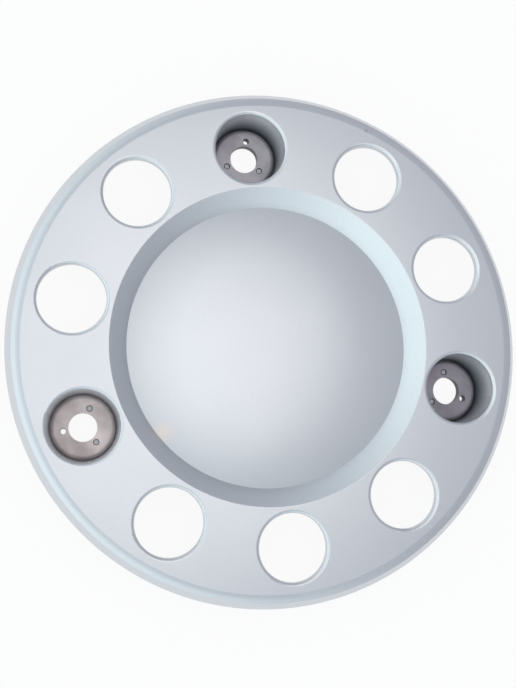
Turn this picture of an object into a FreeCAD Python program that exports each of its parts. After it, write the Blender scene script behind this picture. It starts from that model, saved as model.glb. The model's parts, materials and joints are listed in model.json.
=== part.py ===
import FreeCAD, Part
import math
import os

import Sketcher
from FreeCAD import Placement, Rotation, Vector

# Wheel cover for a ten-stud wheel: a moulded dish with three deep fixing pockets and a steel cup in each.
# Millimetres. +Z is the wheel axis with the shown face up, z = 0 is the seat of the pockets on the wheel,
# and +Y runs through the middle one of the three pockets.

SIZES = {
    # Stations round the stud circle
    "stud_circle_radius": 167.5,
    "station_count": 10,
    "pocket_count": 3,
    "stations_per_pocket": 3,
    "first_pocket_angle": -18,
    # Dish section: the flat ring lies at face_height, and drops and depths run down from it
    "wall": 3,
    "face_height": 42.5,
    "ridge_margin": 1.6,
    "cone_width": 14.5,
    "recess_depth": 15.5,
    "dome_rise": 8,
    "edge_margin": 6.1,
    "bevel_width": 5,
    "bevel_drop": 2.2,
    "skirt_width": 5.5,
    "skirt_drop": 7.8,
    "ridge_round": 1.2,
    "ring_edge_round": 10,
    # Open nut holes
    "hole_step": 1.4,
    "collar_depth": 5.5,
    "lip_round": 3,
    # Deep pockets
    "pocket_flare": 1.6,
    "pocket_floor": 3,
    "cup_clearance": 0.3,
    "neck_clearance": 0.1,
    "pin_gap": 0.7,
    "pin_recess": 0.7,
    "drain_step": 0.4,
    "gusset_width": 2.5,
    "gusset_reach": 16,
    "gusset_foot": 10,
    # Steel cups, set open side down
    "stud_hole_radius": 12,
    "neck_wall": 1.5,
    "small_hole_count": 3,
    "small_hole_radius": 2.7,
    "small_hole_margin": 0.2,
    "small_hole_angle": -12,
    "cup_flat_margin": 4.3,
    "cup_sheet": 2,
    "cup_bend": 4,
    "cup_skirt": 0.5,
}

# Cutting tools run this far past the surface they open
OVERRUN = 5

# Places in a sketch, as its constraints number them
ORIGIN, VERTICAL_AXIS = range(-1, -3, -1)
START, END, CENTRE = range(1, 4)
UP = Vector(0, 0, 1)


class Size:
    """A number that keeps the sheet formula it was worked out from."""

    def __init__(self, value, formula):
        self.value = value
        self.formula = formula

    def __add__(self, other):
        other = as_size(other)
        return Size(self.value + other.value, f"({self.formula} + {other.formula})")

    def __sub__(self, other):
        other = as_size(other)
        return Size(self.value - other.value, f"({self.formula} - {other.formula})")

    def __mul__(self, other):
        other = as_size(other)
        return Size(self.value * other.value, f"({self.formula} * {other.formula})")

    def __truediv__(self, other):
        other = as_size(other)
        return Size(self.value / other.value, f"({self.formula} / {other.formula})")

    def __neg__(self):
        return Size(-self.value, f"(-1 * {self.formula})")


def as_size(number):
    return number if isinstance(number, Size) else Size(number, str(number))


def cosine(angle):
    return Size(math.cos(math.radians(angle.value)), f"cos({angle.formula})")


def sine(angle):
    return Size(math.sin(math.radians(angle.value)), f"sin({angle.formula})")


def write_sheet(doc):
    sheet = doc.addObject("Spreadsheet::Sheet", "Sizes")
    for row, (name, value) in enumerate(SIZES.items(), start=1):
        sheet.set(f"A{row}", name)
        sheet.set(f"B{row}", str(value))
        sheet.setAlias(f"B{row}", name)
    doc.recompute()
    return {name: Size(float(sheet.get(name)), f"Sizes.{name}") for name in SIZES}


def work_out(d):
    """Add the sizes that follow from the driving ones, from a stud's hole outwards to the rim."""
    d["station_spacing"] = as_size(360) / d["station_count"]
    d["pocket_spacing"] = d["station_spacing"] * d["stations_per_pocket"]
    d["neck_radius"] = d["stud_hole_radius"] + d["neck_wall"]
    d["neck_hole_radius"] = d["neck_radius"] + d["neck_clearance"]
    d["small_hole_circle"] = d["neck_hole_radius"] + d["small_hole_margin"] + d["small_hole_radius"]
    d["small_hole_spacing"] = as_size(360) / d["small_hole_count"]
    d["pin_radius"] = d["small_hole_radius"] - d["pin_gap"]
    d["drain_radius"] = d["small_hole_radius"] - d["drain_step"]
    d["cup_flat_radius"] = d["small_hole_circle"] + d["small_hole_radius"] + d["cup_flat_margin"]
    d["cup_radius"] = d["cup_flat_radius"] + d["cup_bend"]
    d["cup_height"] = d["cup_bend"] + d["cup_skirt"]
    d["floor_radius"] = d["cup_radius"] + d["cup_clearance"]
    d["mouth_radius"] = d["floor_radius"] + d["pocket_flare"]
    d["hole_radius"] = d["mouth_radius"] - d["hole_step"]
    lip_reach = d["mouth_radius"] + d["lip_round"]
    d["ridge_radius"] = d["stud_circle_radius"] - lip_reach - d["ridge_margin"]
    d["recess_radius"] = d["ridge_radius"] - d["cone_width"]
    d["ring_edge_radius"] = d["stud_circle_radius"] + lip_reach + d["edge_margin"]
    d["bevel_radius"] = d["ring_edge_radius"] + d["bevel_width"]
    d["rim_radius"] = d["bevel_radius"] + d["skirt_width"]
    d["within_wall"] = d["face_height"] - d["wall"] / 2


class Drawing:
    """A sketch on one of its body's origin planes, with every dimension tied to the sheet."""

    def __init__(self, body, name, plane):
        planes = {feature.Role: feature for feature in body.Origin.OriginFeatures}
        self.sketch = body.newObject("Sketcher::SketchObject", name)
        self.sketch.AttachmentSupport = (planes[plane], [""])
        self.sketch.MapMode = "FlatFace"

    def offset(self, base, axis, angle):
        """Shift and turn the sketch within its plane's own axes."""
        start = Vector(*(as_size(part).value for part in base))
        self.sketch.AttachmentOffset = Placement(start, Rotation(axis, angle.value))
        for letter, part in zip("xyz", base):
            self.sketch.setExpression(f"AttachmentOffset.Base.{letter}", as_size(part).formula)
        self.sketch.setExpression("AttachmentOffset.Rotation.Angle", angle.formula)

    def tie(self, kind, *terms):
        """Add a constraint, and bind its value where the last term is a size."""
        if not isinstance(terms[-1], Size):
            return self.sketch.addConstraint(Sketcher.Constraint(kind, *terms))
        size = terms[-1]
        index = self.sketch.addConstraint(Sketcher.Constraint(kind, *terms[:-1], size.value))
        self.sketch.setExpression(f"Constraints[{index}]", size.formula)
        return index

    def pin(self, piece, end, place):
        """Hold one end of a piece at a place given from the sketch's origin."""
        self.tie("DistanceX", ORIGIN, START, piece, end, as_size(place[0]))
        self.tie("DistanceY", ORIGIN, START, piece, end, as_size(place[1]))

    def line(self, start, end, construction=False):
        ends = [Vector(as_size(x).value, as_size(y).value, 0) for x, y in (start, end)]
        return self.sketch.addGeometry(Part.LineSegment(*ends), construction)

    def arc(self, centre, radius, first, last):
        """An arc run anticlockwise between two angles in radians."""
        circle = Part.Circle(Vector(centre[0], centre[1], 0), UP, radius)
        return self.sketch.addGeometry(Part.ArcOfCircle(circle, first, last), False)

    def circle(self, centre, radius):
        middle = Vector(as_size(centre[0]).value, as_size(centre[1]).value, 0)
        piece = self.sketch.addGeometry(Part.Circle(middle, UP, radius.value), False)
        self.tie("Radius", piece, radius)
        self.pin(piece, CENTRE, centre)
        return piece

    def chain(self, corners):
        """Straight lines joined end to end through the corners."""
        sides = [self.line(start, end) for start, end in zip(corners, corners[1:])]
        for side, following in zip(sides, sides[1:]):
            self.tie("Coincident", side, END, following, START)
        return sides

    def polygon(self, corners):
        """A closed outline of straight lines with every corner pinned."""
        sides = self.chain(corners + corners[:1])
        self.tie("Coincident", sides[-1], END, sides[0], START)
        for side, corner in zip(sides, corners):
            self.pin(side, START, corner)

    def upright_axis(self, distance):
        """A construction line parallel to the vertical axis, used as an axis of revolution."""
        axis = self.line((distance, 0), (distance, OVERRUN), construction=True)
        self.pin(axis, START, (distance, 0))
        self.pin(axis, END, (distance, OVERRUN))


def spin(body, kind, name, drawing, axis):
    feature = body.newObject(f"PartDesign::{kind}", name)
    feature.Profile = drawing.sketch
    feature.ReferenceAxis = (drawing.sketch, [axis])
    feature.Angle = 360
    return feature


def extrude(body, kind, name, drawing, length, symmetric=False):
    feature = body.newObject(f"PartDesign::{kind}", name)
    feature.Profile = drawing.sketch
    feature.SideType = "Symmetric" if symmetric else "One side"
    feature.Length = length.value
    feature.setExpression("Length", length.formula)
    return feature


def repeat(body, name, originals, count, spacing):
    """Copy features round the body's own Z axis."""
    axes = {feature.Role: feature for feature in body.Origin.OriginFeatures}
    pattern = body.newObject("PartDesign::PolarPattern", name)
    pattern.Originals = originals
    pattern.Axis = (axes["Z_Axis"], [""])
    pattern.Mode = "Spacing"
    pattern.Offset = spacing.value
    pattern.setExpression("Offset", spacing.formula)
    pattern.Occurrences = int(count.value)
    pattern.setExpression("Occurrences", count.formula)
    body.Tip = pattern
    return pattern


def soften(doc, body, name, radius, wanted):
    """Round the edges of the body that a test on their points picks out."""
    doc.recompute()
    base = body.Tip
    picked = []
    for index, edge in enumerate(base.Shape.Edges, start=1):
        if not edge.Degenerated and all(wanted(point) for point in edge.discretize(5)):
            picked.append(f"Edge{index}")
    fillet = body.newObject("PartDesign::Fillet", name)
    fillet.Base = (base, picked)
    fillet.Radius = radius.value
    fillet.setExpression("Radius", radius.formula)
    body.Tip = fillet
    return fillet


def ring_test(radius, height, slack=0.01):
    """True for points on a circle about the body's own axis."""
    def wanted(point):
        away = math.hypot(point.x, point.y)
        return abs(away - radius.value) < slack and abs(point.z - height.value) < slack
    return wanted


def dish_section(body, d):
    """Half section of the dish: domed middle, recess cone, flat ring and bevelled rim, one wall thick."""
    drawing = Drawing(body, "DishSection", "XZ_Plane")
    tie = drawing.tie
    wall = d["wall"]
    recess = (d["recess_radius"], d["face_height"] - d["recess_depth"])
    ridge = (d["ridge_radius"], d["face_height"])
    ring_edge = (d["ring_edge_radius"], d["face_height"])
    bevel = (d["bevel_radius"], d["face_height"] - d["bevel_drop"])
    rim = (d["rim_radius"], bevel[1] - d["skirt_drop"])
    apex = recess[1] + d["dome_rise"]
    dome_radius = (recess[0] * recess[0] + d["dome_rise"] * d["dome_rise"]) / (d["dome_rise"] * 2)
    dome_middle = (0, (apex - dome_radius).value)
    foot_turn = math.acos(recess[0].value / dome_radius.value)

    def behind(corner):
        return corner[0], corner[1] - wall

    # Shown side, then the same run one wall behind it
    top_dome = drawing.arc(dome_middle, dome_radius.value, foot_turn, math.pi / 2)
    top_lines = drawing.chain([recess, ridge, ring_edge, bevel, rim])
    rim_foot = (rim[0] - wall, rim[1])
    foot_edge = drawing.line(rim, rim_foot)
    under_lines = drawing.chain([rim_foot, behind(bevel), behind(ring_edge), behind(ridge), behind(recess)])
    under_dome = drawing.arc(dome_middle, (dome_radius - wall).value, foot_turn, math.pi / 2)
    axis_edge = drawing.line((0, apex - wall), (0, apex))

    # Ends that meet
    tie("Coincident", top_dome, START, top_lines[0], START)
    tie("Coincident", top_lines[-1], END, foot_edge, START)
    tie("Coincident", foot_edge, END, under_lines[0], START)
    tie("Coincident", under_lines[-1], END, under_dome, START)
    tie("Coincident", under_dome, END, axis_edge, START)
    tie("Coincident", axis_edge, END, top_dome, END)

    # Shown side
    tie("PointOnObject", top_dome, CENTRE, VERTICAL_AXIS)
    tie("PointOnObject", top_dome, END, VERTICAL_AXIS)
    tie("DistanceY", ORIGIN, START, top_dome, END, apex)
    drawing.pin(top_lines[0], START, recess)
    for line, corner in zip(top_lines, (ridge, ring_edge, bevel, rim)):
        drawing.pin(line, END, corner)

    # Hidden side, parallel to the shown one
    tie("Horizontal", foot_edge)
    for top, under in zip(top_lines, reversed(under_lines)):
        tie("Parallel", top, under)
        tie("Distance", top, END, under, wall)
    tie("Coincident", under_dome, CENTRE, top_dome, CENTRE)
    tie("PointOnObject", under_dome, END, VERTICAL_AXIS)
    tie("DistanceY", ORIGIN, START, under_dome, END, apex - wall)
    return drawing


def station_section(body, name, d, corners):
    """A half section in the upright plane through the first pocket's axis, distances from that axis."""
    drawing = Drawing(body, name, "XZ_Plane")
    drawing.offset((0, 0, 0), Vector(0, 1, 0), d["first_pocket_angle"])
    drawing.upright_axis(d["stud_circle_radius"])
    drawing.polygon([(d["stud_circle_radius"] + x, y) for x, y in corners])
    return drawing


def pocket_plan(body, name, d, height):
    """A sketch over the first pocket, its X axis pointing away from the wheel's axis."""
    drawing = Drawing(body, name, "XY_Plane")
    angle = d["first_pocket_angle"]
    middle = (d["stud_circle_radius"] * cosine(angle), d["stud_circle_radius"] * sine(angle), height)
    drawing.offset(middle, UP, angle)
    return drawing


def small_hole_place(d, index):
    angle = d["small_hole_angle"] + d["small_hole_spacing"] * index
    return d["small_hole_circle"] * cosine(angle), d["small_hole_circle"] * sine(angle)


def nut_holes(body, d):
    """Ten plain holes with a collar turned in behind the face."""
    collar_foot = d["face_height"] - d["collar_depth"]
    collar_radius = d["hole_radius"] + d["wall"]
    top = d["within_wall"]
    collar = [(0, collar_foot), (collar_radius, collar_foot), (collar_radius, top), (0, top)]
    above = d["face_height"] + OVERRUN
    below = collar_foot - OVERRUN
    bore = [(0, below), (d["hole_radius"], below), (d["hole_radius"], above), (0, above)]
    collar_section = station_section(body, "CollarSection", d, collar)
    bore_section = station_section(body, "HoleSection", d, bore)
    features = [
        spin(body, "Revolution", "Collar", collar_section, "Axis0"),
        spin(body, "Groove", "Hole", bore_section, "Axis0"),
    ]
    repeat(body, "Stations", features, d["station_count"], d["station_spacing"])


def pockets(body, d):
    """Three drafted cups of plastic that reach down to the seat, each with a floor for a steel cup."""
    wall, floor, top = d["wall"], d["pocket_floor"], d["within_wall"]
    tube = [(0, 0), (d["floor_radius"] + wall, 0), (d["mouth_radius"] + wall, top), (0, top)]
    draft = d["pocket_flare"] / (d["face_height"] - floor)
    above = d["face_height"] + OVERRUN
    cavity = [
        (0, -OVERRUN),
        (d["neck_hole_radius"], -OVERRUN),
        (d["neck_hole_radius"], floor),
        (d["floor_radius"], floor),
        (d["mouth_radius"] + draft * OVERRUN, above),
        (0, above),
    ]
    tube_section = station_section(body, "TubeSection", d, tube)
    features = [spin(body, "Revolution", "PocketTube", tube_section, "Axis0")]
    features.append(gussets(body, d))
    cavity_section = station_section(body, "CavitySection", d, cavity)
    features.append(spin(body, "Groove", "PocketCavity", cavity_section, "Axis0"))

    pins = pocket_plan(body, "PinPlan", d, floor)
    for index in range(1, int(d["small_hole_count"].value)):
        pins.circle(small_hole_place(d, index), d["pin_radius"])
    features.append(extrude(body, "Pad", "LocatingPins", pins, d["cup_height"] - d["pin_recess"]))

    drain = pocket_plan(body, "DrainPlan", d, floor)
    drain.circle(small_hole_place(d, 0), d["drain_radius"])
    features.append(extrude(body, "Pocket", "Drain", drain, floor + OVERRUN))
    repeat(body, "Pockets", features, d["pocket_count"], d["pocket_spacing"])


def gussets(body, d):
    """Two webs behind the face that brace a pocket's tube on either side."""
    root = d["mouth_radius"] + d["wall"] / 2
    tip = d["mouth_radius"] + d["wall"] + d["gusset_reach"]
    foot = d["gusset_foot"]
    web = [(root, foot), (tip, d["within_wall"]), (root, d["within_wall"])]
    across = Drawing(body, "GussetSection", "XZ_Plane")
    angle = d["first_pocket_angle"]
    middle = (d["stud_circle_radius"] * cosine(angle), 0, -(d["stud_circle_radius"] * sine(angle)))
    across.offset(middle, Vector(0, 1, 0), angle + 90)
    across.polygon(web)
    across.polygon([(-x, y) for x, y in web])
    return extrude(body, "Pad", "Gussets", across, d["gusset_width"], symmetric=True)


def cover_shell(doc, d):
    body = doc.addObject("PartDesign::Body", "CoverShell")
    body.Label = "cover_shell"
    spin(body, "Revolution", "Dish", dish_section(body, d), "V_Axis")
    nut_holes(body, d)
    pockets(body, d)

    def on_lip(point):
        step = math.radians(d["station_spacing"].value)
        first = math.radians(d["first_pocket_angle"].value)
        angle = first + step * round((math.atan2(point.y, point.x) - first) / step)
        middle = Vector(math.cos(angle), math.sin(angle), 0) * d["stud_circle_radius"].value
        away = math.hypot(point.x - middle.x, point.y - middle.y)
        narrowest = d["hole_radius"].value - d["wall"].value / 2
        widest = d["mouth_radius"].value + d["wall"].value / 2
        return point.z > d["within_wall"].value and narrowest < away < widest

    soften(doc, body, "Lips", d["lip_round"], on_lip)
    on_ridge = ring_test(d["ridge_radius"], d["face_height"])
    on_ring_edge = ring_test(d["ring_edge_radius"], d["face_height"])
    soften(doc, body, "RidgeRound", d["ridge_round"], on_ridge)
    soften(doc, body, "RingEdgeRound", d["ring_edge_round"], on_ring_edge)
    return body


def cup_section(body, d):
    """Half section of a steel cup: a drawn neck, a flat top and an edge turned down to the floor."""
    drawing = Drawing(body, "CupSection", "XZ_Plane")
    tie = drawing.tie
    sheet, bend = d["cup_sheet"], d["cup_bend"]
    hole, neck = d["stud_hole_radius"], d["neck_radius"]
    floor = d["pocket_floor"]
    top = floor + d["cup_height"]
    under, bend_foot = top - sheet, top - bend
    flat, outer_wall = d["cup_flat_radius"], d["cup_radius"]
    inner_wall = outer_wall - sheet
    middle = (flat.value, bend_foot.value)
    quarter = (0, math.pi / 2)
    neck_corners = [(neck, under), (neck, 0), (hole, 0), (hole, top)]
    foot_corners = [(outer_wall, floor), (inner_wall, floor)]
    neck_lines = drawing.chain([(flat, under)] + neck_corners + [(flat, top)])
    outside = drawing.arc(middle, bend.value, *quarter)
    foot_lines = drawing.chain([(outer_wall, bend_foot)] + foot_corners + [(inner_wall, bend_foot)])
    inside = drawing.arc(middle, bend.value - sheet.value, *quarter)
    tie("Tangent", neck_lines[-1], END, outside, END)
    tie("Tangent", outside, START, foot_lines[0], START)
    tie("Tangent", foot_lines[-1], END, inside, START)
    tie("Tangent", inside, END, neck_lines[0], START)
    for lines, corners in ((neck_lines, neck_corners), (foot_lines, foot_corners)):
        for line, corner in zip(lines, corners):
            drawing.pin(line, END, corner)
    drawing.pin(outside, CENTRE, (flat, bend_foot))
    tie("Coincident", inside, CENTRE, outside, CENTRE)
    tie("Horizontal", neck_lines[0])
    tie("Horizontal", neck_lines[-1])
    return drawing


def fixing_cup(doc, d, index):
    body = doc.addObject("PartDesign::Body", f"FixingCup{index + 1}")
    body.Label = f"fixing_cup_{index + 1}"
    spin(body, "Revolution", "Cup", cup_section(body, d), "V_Axis")
    plan = Drawing(body, "SmallHolePlan", "XY_Plane")
    plan.offset((0, 0, d["pocket_floor"] + d["cup_height"]), UP, as_size(0))
    plan.circle(small_hole_place(d, 0), d["small_hole_radius"])
    hole = extrude(body, "Pocket", "SmallHole", plan, d["cup_sheet"] + OVERRUN)
    repeat(body, "SmallHoles", [hole], d["small_hole_count"], d["small_hole_spacing"])

    angle = d["first_pocket_angle"] + d["pocket_spacing"] * index
    body.Placement = Placement(Vector(), Rotation(UP, angle.value))
    body.setExpression("Placement.Base.x", (d["stud_circle_radius"] * cosine(angle)).formula)
    body.setExpression("Placement.Base.y", (d["stud_circle_radius"] * sine(angle)).formula)
    body.setExpression("Placement.Rotation.Angle", angle.formula)
    return body


def check(doc, bodies):
    for item in doc.Objects:
        faults = {"Invalid", "Error"} & set(item.State)
        if faults:
            raise RuntimeError(f"{item.Name} is {sorted(faults)}")
    for body in bodies:
        if body.Shape.isNull() or not body.Shape.isValid() or len(body.Shape.Solids) != 1:
            raise RuntimeError(f"{body.Label} is not one valid solid")


def main():
    doc = FreeCAD.newDocument("WheelCover")
    d = write_sheet(doc)
    work_out(d)
    bodies = [cover_shell(doc, d)]
    bodies += [fixing_cup(doc, d, index) for index in range(int(d["pocket_count"].value))]
    doc.recompute()
    check(doc, bodies)
    os.makedirs("parts", exist_ok=True)
    for body in bodies:
        body.Shape.exportStep(f"parts/{body.Label}.step")


main()
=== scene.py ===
import json
import math

import bpy
from mathutils import Matrix, Vector


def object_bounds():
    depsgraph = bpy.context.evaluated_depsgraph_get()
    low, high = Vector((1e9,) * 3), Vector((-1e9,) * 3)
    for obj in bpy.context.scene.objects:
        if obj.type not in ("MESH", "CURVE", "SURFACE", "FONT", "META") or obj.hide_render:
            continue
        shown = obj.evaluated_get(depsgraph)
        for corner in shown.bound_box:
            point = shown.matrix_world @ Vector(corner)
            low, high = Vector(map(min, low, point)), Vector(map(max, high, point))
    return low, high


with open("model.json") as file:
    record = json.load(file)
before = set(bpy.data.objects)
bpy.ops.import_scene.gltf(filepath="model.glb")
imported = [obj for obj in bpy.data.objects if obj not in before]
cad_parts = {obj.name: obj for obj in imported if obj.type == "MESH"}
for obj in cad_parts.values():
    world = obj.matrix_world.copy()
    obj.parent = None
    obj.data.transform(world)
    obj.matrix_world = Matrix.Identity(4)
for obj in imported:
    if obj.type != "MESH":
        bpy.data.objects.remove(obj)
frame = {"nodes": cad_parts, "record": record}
size_at_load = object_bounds()

# The cover lies on a pale floor with its shown face up. Lengths are in metres and angles in degrees.
FACE_HEIGHT = size_at_load[1].z
FACE_MIDDLE = Vector((0, 0, FACE_HEIGHT))

# The cover as the camera sees it: how far off, turned about Z, then tilted about X and about Y, and how
# far its middle lies right of and above the camera's axis. The lens and sensor are in millimetres.
CAMERA_DISTANCE = 0.8445
CAMERA_TURN = 5.03
CAMERA_TILT_X = -6.16
CAMERA_TILT_Y = 9.99
CAMERA_SLIDE = (0.01136, -0.00029)
LENS = 53.28
SENSOR = 36.0

FLOOR_SIZE = 8.0
# The floor lies this little below the cover
FLOOR_GAP = 0.0003
FLOOR_TONES = ((0.80, 0.80, 0.80), (0.83, 0.83, 0.83))
FLOOR_MOTTLE = 0.5
# How much of the floor's look is plain white; the rest takes the shadow
FLOOR_WHITE = 0.92

# The room's light grows towards its bright side. The span says how much a direction points that way
# where the room is still dim and where it is fully bright.
BRIGHT_SIDE = (-0.85, -0.23, -0.47)
BRIGHT_SPAN = (-0.6, 0.5)
ROOM_DIM = (0.48, 0.495, 0.555)
ROOM_BRIGHT = (1.36, 1.53, 1.54)

# A round panel overhead, with its power in watts
PANEL_PLACE = (0.06, 0.10, 1.10)
PANEL_SIZE = 0.9
PANEL_POWER = 1.98
PANEL_TINT = (1.0, 0.95, 0.88)

# Most of a noise's values lie in this span
NOISE_SPAN = (0.3, 0.7)

# Spans of how far a face looks up: 0 on an upright wall, 1 on a level top and negative at the back
WALL_TO_TOP = (0.2, 0.5)
BACK_TO_FRONT = (0.0, 0.03)
EDGE_TO_PLATE = (0.0, 0.05)

# Painted shade: below these heights faces blend into the dark plastic, on faces that look up and on the
# pockets' walls
TOP_SHADE_SPAN = (-0.04, 0.032)
WALL_DARKEST_BELOW = 0.007
WALL_UNSHADED_ABOVE = 0.034
# Painted light: on the left, the walls' painted shade starts lower; it changes over this span of X
LEFT_WALL_DARKEST_BELOW = -0.15
LEFT_LIGHT_SPAN = (-0.13, -0.10)
# The lacquer covers the walls of the nut holes, and reaches this far past their radius
HOLE_RADIUS = 0.028
HOLE_WALL_REACH = 0.0005

# Silver lacquer with fine flakes, wide clouds and a slight orange peel
LACQUER_TONES = ((0.58, 0.60, 0.632), (0.66, 0.68, 0.715))
LACQUER_METALLIC = 0.7
LACQUER_ROUGHNESS = (0.30, 0.34)
COAT_WEIGHT = 0.25
COAT_ROUGHNESS = 0.18
FLAKE_SIZE = 0.0009
CLOUD_SIZE = 0.06
PEEL_SIZE = 0.004
PEEL_DETAIL = 1.0
PEEL_STRENGTH = 0.04
PEEL_DEPTH = 0.0004

# Dark plastic under the lacquer, bare at the back and blended in as painted shade low in the pockets
PLASTIC_AND_SHADE_TONES = ((0.055, 0.066, 0.077), (0.085, 0.099, 0.112))
PLASTIC_ROUGHNESS = (0.5, 0.6)

# Marks on the paint: place, reach, colour and strength of a speck of dirt and of a painted warm glow
SPECK_AND_GLOW_MARKS = (
    ((0.1029, 0.1772, FACE_HEIGHT), 0.0024, (0.40, 0.41, 0.43), 0.8),
    ((-0.0960, -0.0630, 0.0280), 0.012, (0.80, 0.69, 0.59), 0.6),
)

# Steel of the cups, stained in patches between a dull and a bright colour for each; the cups' pairs also
# differ as painted light and shade
CUP_STAIN_AND_SHADE_TONES = {
    "fixing_cup_1": ((0.27, 0.245, 0.285), (0.42, 0.385, 0.43)),
    "fixing_cup_2": ((0.33, 0.31, 0.35), (0.56, 0.52, 0.555)),
    "fixing_cup_3": ((0.44, 0.38, 0.375), (0.82, 0.715, 0.70)),
}
# Dark tone of the cups' faces that look sideways or down, such as bores and edges
EDGE_TONE = (0.05, 0.047, 0.05)
STEEL_METALLIC = 0.35
STEEL_ROUGHNESS = (0.36, 0.46)
STAIN_SIZE = 0.024
STAIN_DETAIL = 5.0
SCUFF_SIZE = 0.002
SCUFF_DETAIL = 3.0
SCUFF_STRENGTH = 0.08
SCUFF_DEPTH = 0.0003

# Sockets of a Mix node that blends two colours
MIX_FIRST = 6
MIX_SECOND = 7
MIX_RESULT = 2


def put(material, socket, value):
    """Set a socket, or join it where the value is another node's socket."""
    if isinstance(value, bpy.types.NodeSocket):
        material.node_tree.links.new(value, socket)
    else:
        socket.default_value = value


def new_node(material, kind, **inputs):
    """A node of a material or of the world, with some of its sockets set or joined by name."""
    node = material.node_tree.nodes.new(kind)
    for name, value in inputs.items():
        put(material, node.inputs[name.replace("_", " ")], value)
    return node


def worked_out(material, kind, operation, first, second):
    """The outputs of a Math or Vector Math node that works on two values."""
    node = new_node(material, kind)
    node.operation = operation
    put(material, node.inputs[0], first)
    put(material, node.inputs[1], second)
    return node.outputs


def mapped(material, value, span=(0.0, 1.0), onto=(0.0, 1.0), ease="LINEAR"):
    """A value carried from one span onto another, and held at its ends."""
    node = new_node(
        material,
        "ShaderNodeMapRange",
        Value=value,
        From_Min=span[0],
        From_Max=span[1],
        To_Min=onto[0],
        To_Max=onto[1],
    )
    node.interpolation_type = ease
    return node.outputs["Result"]


def either(material, first, second):
    """The larger of two shares."""
    return worked_out(material, "ShaderNodeMath", "MAXIMUM", first, second)["Value"]


def blended(material, factor, first, second):
    """A colour between two others."""
    node = new_node(material, "ShaderNodeMix")
    node.data_type = "RGBA"
    put(material, node.inputs["Factor"], factor)
    for index, colour in ((MIX_FIRST, first), (MIX_SECOND, second)):
        from_node = isinstance(colour, bpy.types.NodeSocket)
        put(material, node.inputs[index], colour if from_node else (*colour, 1))
    return node.outputs[MIX_RESULT]


def position(material):
    """Where a point of the piece is."""
    return new_node(material, "ShaderNodeTexCoord").outputs["Object"]


def distance(material, place, other):
    """How far one place is from another."""
    return worked_out(material, "ShaderNodeVectorMath", "DISTANCE", place, other)["Value"]


def along(material, vector, axis):
    """One of a vector's three numbers."""
    return new_node(material, "ShaderNodeSeparateXYZ", Vector=vector).outputs[axis]


def grain(material, size, detail=2.0):
    """Noise whose blobs are about this many metres across, the same in every direction."""
    place = position(material)
    noise = new_node(material, "ShaderNodeTexNoise", Vector=place, Scale=1 / size, Detail=detail)
    return noise.outputs["Fac"]


def spread(material, noise, onto):
    """Noise spread between two values."""
    return mapped(material, noise, NOISE_SPAN, onto)


def bumped(material, height, strength, depth):
    """The surface's direction, roughened by a height."""
    bump = new_node(material, "ShaderNodeBump", Height=height, Strength=strength, Distance=depth)
    return bump.outputs["Normal"]


def height_share(material, span):
    """0 below a span of heights and 1 above it."""
    return mapped(material, along(material, position(material), "Z"), span)


def facing_share(material, span):
    """0 on faces that look up less than a span and 1 on those that look up more."""
    normal = new_node(material, "ShaderNodeNewGeometry").outputs["Normal"]
    return mapped(material, along(material, normal, "Z"), span)


def marked(material, colour, place, reach, tint, strength):
    """A colour with a soft round mark on it."""
    away = distance(material, position(material), place)
    share = mapped(material, away, (0.0, reach), (strength, 0.0), "SMOOTHSTEP")
    return blended(material, share, colour, tint)


def in_nut_holes(material):
    """1 in the nut holes and on their walls, and 0 further out."""
    # Multiplied by this, a place loses its height
    level = Vector((1, 1, 0))
    place = worked_out(material, "ShaderNodeVectorMath", "MULTIPLY", position(material), level)["Vector"]
    reach = HOLE_RADIUS + HOLE_WALL_REACH
    inside = 0.0
    for opening in frame["record"]["physics"]["openings"]:
        if opening["name"].startswith("nut_hole"):
            low, high = (Vector(corner) * level for corner in opening["box_m"])
            away = distance(material, place, (low + high) / 2)
            near = worked_out(material, "ShaderNodeMath", "LESS_THAN", away, reach)["Value"]
            inside = either(material, inside, near)
    return inside


def lacquer_and_shade_share(material):
    """1 where the lacquer shows unshaded, and 0 on the bare back and where painted shade is darkest."""
    # Painted light: the walls' painted shade starts lower in the left pocket
    left_to_right = along(material, position(material), "X")
    darkest_below = mapped(material, left_to_right, LEFT_LIGHT_SPAN, (LEFT_WALL_DARKEST_BELOW, WALL_DARKEST_BELOW))
    on_walls = height_share(material, (darkest_below, WALL_UNSHADED_ABOVE))
    # Painted shade on faces that look up: low in the pockets, and a little at the dome's edge
    on_tops = height_share(material, TOP_SHADE_SPAN)
    unshaded = mapped(material, facing_share(material, WALL_TO_TOP), onto=(on_walls, on_tops))
    sprayed = either(material, facing_share(material, BACK_TO_FRONT), in_nut_holes(material))
    return worked_out(material, "ShaderNodeMath", "MULTIPLY", unshaded, sprayed)["Value"]


def new_material(name):
    material = bpy.data.materials.new(name)
    material.use_nodes = True
    material.node_tree.nodes.clear()
    return material


def show_surface(material, shader):
    output = new_node(material, "ShaderNodeOutputMaterial")
    material.node_tree.links.new(shader, output.inputs["Surface"])


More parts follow.
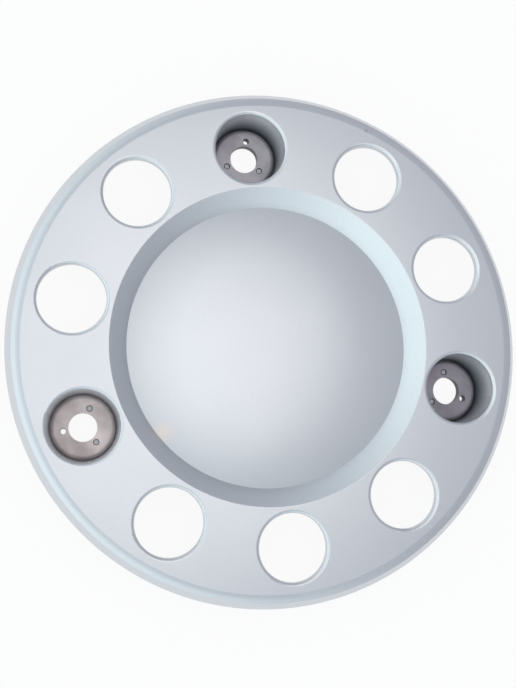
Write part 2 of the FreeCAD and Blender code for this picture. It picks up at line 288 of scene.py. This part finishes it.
def silver_paint():
    """Silver lacquer over dark plastic, which shows at the back and, as painted shade, low in the
    pockets.
    """
    material = new_material("silver_paint")
    flake = grain(material, FLAKE_SIZE)
    cloud = grain(material, CLOUD_SIZE)
    peel = grain(material, PEEL_SIZE, PEEL_DETAIL)
    share = lacquer_and_shade_share(material)
    lacquer = blended(material, flake, *LACQUER_TONES)
    # A speck of dirt, and a painted warm glow at the dome's lower-left edge
    for mark in SPECK_AND_GLOW_MARKS:
        lacquer = marked(material, lacquer, *mark)
    plastic = blended(material, cloud, *PLASTIC_AND_SHADE_TONES)
    lacquer_roughness = spread(material, cloud, LACQUER_ROUGHNESS)
    plastic_roughness = spread(material, flake, PLASTIC_ROUGHNESS)
    shader = new_node(
        material,
        "ShaderNodeBsdfPrincipled",
        Base_Color=blended(material, share, plastic, lacquer),
        Metallic=mapped(material, share, onto=(0.0, LACQUER_METALLIC)),
        Roughness=mapped(material, share, onto=(plastic_roughness, lacquer_roughness)),
        Coat_Weight=mapped(material, share, onto=(0.0, COAT_WEIGHT)),
        Coat_Roughness=COAT_ROUGHNESS,
        Normal=bumped(material, peel, PEEL_STRENGTH, PEEL_DEPTH),
    )
    show_surface(material, shader.outputs["BSDF"])
    return material


def cup_steel(name, dull, bright):
    """Bare pressed steel, stained in patches, and dark on faces that look sideways or down."""
    material = new_material(name + "_steel")
    stain = spread(material, grain(material, STAIN_SIZE, STAIN_DETAIL), (0.0, 1.0))
    scuff = grain(material, SCUFF_SIZE, SCUFF_DETAIL)
    plate = blended(material, stain, dull, bright)
    shader = new_node(
        material,
        "ShaderNodeBsdfPrincipled",
        Base_Color=blended(material, facing_share(material, EDGE_TO_PLATE), EDGE_TONE, plate),
        Metallic=STEEL_METALLIC,
        Roughness=spread(material, scuff, STEEL_ROUGHNESS),
        Normal=bumped(material, scuff, SCUFF_STRENGTH, SCUFF_DEPTH),
    )
    show_surface(material, shader.outputs["BSDF"])
    return material


def paint_nodes():
    """Give each node of the cover its own finish."""
    finishes = {"cover_shell": silver_paint()}
    # Each cup's pair of tones is lighter or darker as painted light and shade
    for name, tones in CUP_STAIN_AND_SHADE_TONES.items():
        finishes[name] = cup_steel(name, *tones)
    for name, finish in finishes.items():
        mesh = frame["nodes"][name].data
        mesh.materials.clear()
        mesh.materials.append(finish)


def floor():
    """A pale floor that looks white to the camera and in reflections, and still takes a soft shadow."""
    material = new_material("floor")
    path = new_node(material, "ShaderNodeLightPath")
    tone = blended(material, grain(material, FLOOR_MOTTLE), *FLOOR_TONES)
    matt = new_node(material, "ShaderNodeBsdfDiffuse", Color=tone)
    white = new_node(material, "ShaderNodeEmission", Color=(1, 1, 1, 1), Strength=1.0)
    seen = either(material, path.outputs["Is Camera Ray"], path.outputs["Is Glossy Ray"])
    seen = either(material, seen, path.outputs["Is Transmission Ray"])
    mix = new_node(material, "ShaderNodeMixShader", Fac=mapped(material, seen, onto=(0.0, FLOOR_WHITE)))
    material.node_tree.links.new(matt.outputs["BSDF"], mix.inputs[1])
    material.node_tree.links.new(white.outputs["Emission"], mix.inputs[2])
    show_surface(material, mix.outputs["Shader"])
    bpy.ops.mesh.primitive_plane_add(size=FLOOR_SIZE, location=(0, 0, -FLOOR_GAP))
    plane = bpy.context.object
    plane.name = "floor"
    plane.data.materials.append(material)


def overhead_panel():
    """A large round soft lamp aimed at the middle of the cover."""
    lamp = bpy.data.lights.new("overhead", "AREA")
    lamp.shape = "DISK"
    lamp.size = PANEL_SIZE
    lamp.energy = PANEL_POWER
    lamp.color = PANEL_TINT
    thing = bpy.data.objects.new("overhead", lamp)
    bpy.context.collection.objects.link(thing)
    thing.location = PANEL_PLACE
    away = Vector(PANEL_PLACE) - FACE_MIDDLE
    thing.rotation_euler = away.to_track_quat("Z", "Y").to_euler()


def room():
    """A pale room that is brighter on the left."""
    world = bpy.data.worlds.new("studio")
    world.use_nodes = True
    direction = new_node(world, "ShaderNodeTexCoord").outputs["Generated"]
    side = worked_out(world, "ShaderNodeVectorMath", "DOT_PRODUCT", direction, BRIGHT_SIDE)["Value"]
    light = blended(world, mapped(world, side, BRIGHT_SPAN), ROOM_DIM, ROOM_BRIGHT)
    world.node_tree.links.new(light, world.node_tree.nodes["Background"].inputs["Color"])
    bpy.context.scene.world = world


def turned(degrees, axis):
    """A turn about one axis."""
    return Matrix.Rotation(math.radians(degrees), 3, axis)


def camera():
    """A camera that looks nearly straight down on the cover."""
    lens = bpy.data.cameras.new("camera")
    lens.sensor_fit = "VERTICAL"
    lens.sensor_height = SENSOR
    lens.lens = LENS
    thing = bpy.data.objects.new("camera", lens)
    bpy.context.collection.objects.link(thing)
    seen = turned(CAMERA_TILT_Y, "Y") @ turned(CAMERA_TILT_X, "X") @ turned(CAMERA_TURN, "Z")
    facing = seen.transposed()
    right, above = CAMERA_SLIDE
    place = FACE_MIDDLE + facing @ Vector((-right, -above, CAMERA_DISTANCE))
    thing.matrix_world = Matrix.Translation(place) @ facing.to_4x4()
    bpy.context.scene.camera = thing


bpy.context.scene.view_settings.view_transform = "Standard"
paint_nodes()
floor()
room()
overhead_panel()
camera()
